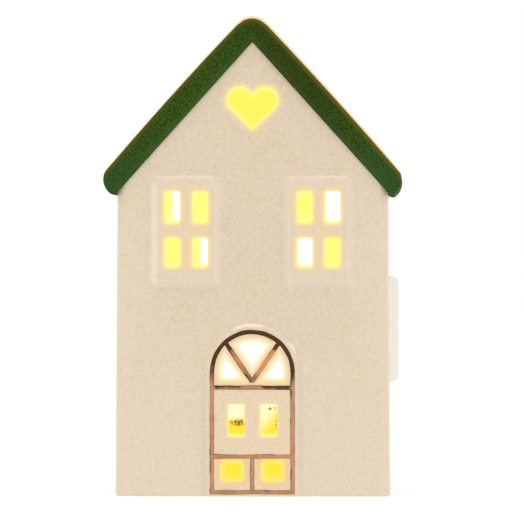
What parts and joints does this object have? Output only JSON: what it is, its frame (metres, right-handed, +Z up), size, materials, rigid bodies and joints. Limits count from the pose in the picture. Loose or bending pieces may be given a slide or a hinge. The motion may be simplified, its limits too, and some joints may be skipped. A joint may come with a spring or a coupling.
{
  "type": "lit ceramic village house",
  "caption": "Glazed ceramic village house with a steep gable roof, an arched door, raised windows and a heart opening, lit by a battery light unit in its base.",
  "frame": {"origin": "on the table under the middle of the house", "axes": "+Z up, the front with the door faces -Y, +X to the right as the front is seen"},
  "size_m": [0.0956, 0.0746, 0.1537],
  "materials": {
    "cream_glaze": "glossy",
    "green_glaze": "glossy",
    "copper_lustre": "glossy",
    "amber_film": "satin",
    "white_plastic": "satin",
    "black_plastic": "satin",
    "clear_silicone": "satin",
    "plated_steel": "satin",
    "cell_sleeve": "glossy",
    "circuit_board": "satin",
    "led_epoxy": "glossy",
    "red_insulation": "satin",
    "black_insulation": "satin"
  },
  "bodies": {
    "house": {"house_shell": "cream_glaze", "roof": "green_glaze", "door_lustre": "copper_lustre", "front_cell": "cell_sleeve", "rear_cell": "cell_sleeve", "front_cell_spring": "plated_steel", "rear_cell_spring": "plated_steel", "negative_terminal": "plated_steel", "positive_terminal": "plated_steel", "cell_bridge": "plated_steel", "hinge_pin": "plated_steel", "switch_body": "plated_steel", "board_screws": "plated_steel", "unit_housing": "white_plastic", "base_pads": "clear_silicone", "light_board": "circuit_board", "light_leds": "led_epoxy", "chip_resistor": "black_plastic", "red_lead": "red_insulation", "black_lead": "black_insulation", "link_lead": "black_insulation", "left_window_film": "amber_film", "right_window_film": "amber_film", "left_side_window_film": "amber_film", "right_side_window_film": "amber_film", "heart_film": "amber_film", "fanlight_film": "amber_film", "door_pane_film": "amber_film", "door_panel_film": "amber_film"},
    "battery_door": {"battery_door": "white_plastic"},
    "switch_knob": {"switch_knob": "black_plastic"}
  },
  "joints": [
    {"name": "battery_door_hinge", "type": "hinge", "parent": "house", "child": "battery_door", "pos_m": [0, -0.02065, 0.0015], "axis": [-1, 0, 0], "range_deg": [0, 105]},
    {"name": "switch_slide", "type": "slide", "parent": "house", "child": "switch_knob", "axis": [-1, 0, 0], "range_m": [0, 0.003]}
  ]
}
